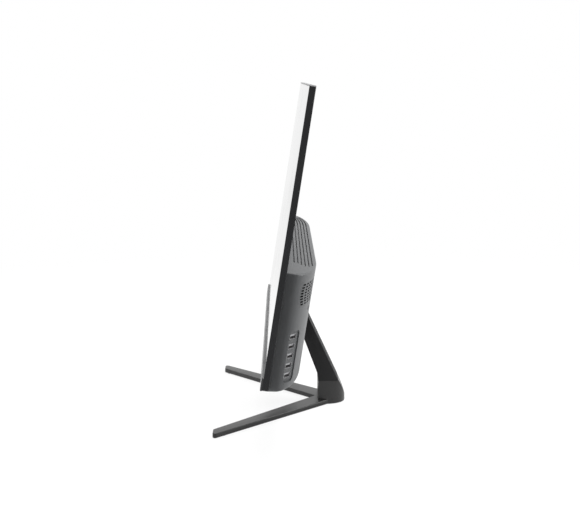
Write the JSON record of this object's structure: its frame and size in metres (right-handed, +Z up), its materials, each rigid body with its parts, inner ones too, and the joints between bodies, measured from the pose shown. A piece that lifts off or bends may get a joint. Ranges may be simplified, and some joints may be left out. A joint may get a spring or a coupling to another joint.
{
  "type": "all-in-one desktop computer",
  "caption": "Flat desktop computer: thin wide screen with a bulged rear housing on a tilting neck and a V-shaped foot.",
  "frame": {"origin": "middle of the footprint, on the table", "axes": "+X along the screen's width, -Y the way the screen faces, +Z up"},
  "size_m": [0.54, 0.162, 0.4072],
  "materials": {
    "bezel": "gloss",
    "screen": "gloss",
    "cell": "satin",
    "white_plastic": "matt",
    "clear_plastic": "gloss",
    "circuit_board": "satin",
    "plated_steel": "satin",
    "dark_steel": "satin",
    "housing_plastic": "fine texture",
    "black_plastic": "matt",
    "button_plastic": "satin",
    "brass": "satin",
    "dark_nickel": "satin",
    "aluminium": "satin",
    "foot_metal": "satin",
    "neck_plastic": "satin",
    "rubber": "matt"
  },
  "bodies": {
    "stand": {"stand_foot": "foot_metal", "stand_neck": "neck_plastic", "stand_screws": "dark_steel", "rubber_feet": "rubber"},
    "fan_rotor": {"fan_impeller": "black_plastic"},
    "button": {"power_button": "button_plastic"},
    "screen_unit": {"back_cover": "housing_plastic", "bezel_frame": "bezel", "board_standoffs": "brass", "chassis_plate": "plated_steel", "chin_bar": "bezel", "clock_battery": "plated_steel", "cold_plate": "dark_nickel", "dc_jack": "black_plastic", "diffuser_sheets": "white_plastic", "drive_tray": "black_plastic", "ethernet_port": "plated_steel", "fan_cover": "plated_steel", "fan_housing": "black_plastic", "fin_stack": "aluminium", "hard_drive": "aluminium", "hdmi_port": "plated_steel", "heat_pipe": "dark_nickel", "hinge_bracket": "dark_steel", "hinge_nuts": "dark_steel", "hinge_screws": "dark_steel", "hinge_shaft": "plated_steel", "hinge_washers": "plated_steel", "housing_screws": "dark_steel", "lcd_cell": "cell", "led_bar": "circuit_board", "light_guide": "clear_plastic", "memory_module_1": "circuit_board", "memory_module_2": "circuit_board", "memory_socket": "black_plastic", "motherboard": "circuit_board", "panel_cable": "black_plastic", "panel_driver_board": "circuit_board", "panel_pan": "plated_steel", "power_switch_board": "circuit_board", "processor": "plated_steel", "rear_housing": "housing_plastic", "rear_usb_stack": "plated_steel", "screen_glass": "screen", "side_port_board": "circuit_board", "side_usb_port_1": "plated_steel", "side_usb_port_2": "plated_steel", "side_usb_port_3": "plated_steel", "side_usb_port_4": "plated_steel", "side_usb_port_5": "plated_steel", "speaker_left": "black_plastic", "speaker_right": "black_plastic", "ssd_module": "circuit_board", "wifi_antenna_left": "dark_nickel", "wifi_antenna_right": "dark_nickel", "wifi_card": "circuit_board"}
  },
  "joints": [
    {"name": "screen_tilt", "type": "hinge", "parent": "stand", "child": "screen_unit", "pos_m": [0, 0.01888, 0.13099], "axis": [1, 0, 0], "range_deg": [-10.8, 14.2]},
    {"name": "fan_spin", "type": "hinge", "parent": "screen_unit", "child": "fan_rotor", "pos_m": [-0.081, 0.01608, 0.14816], "axis": [0, 0.9871, -0.1599], "continuous": true},
    {"name": "power_button_press", "type": "slide", "parent": "screen_unit", "child": "button", "axis": [0, 0.1599, 0.9871], "range_m": [0, 0.0008], "stiffness_N_per_m": 1000}
  ]
}
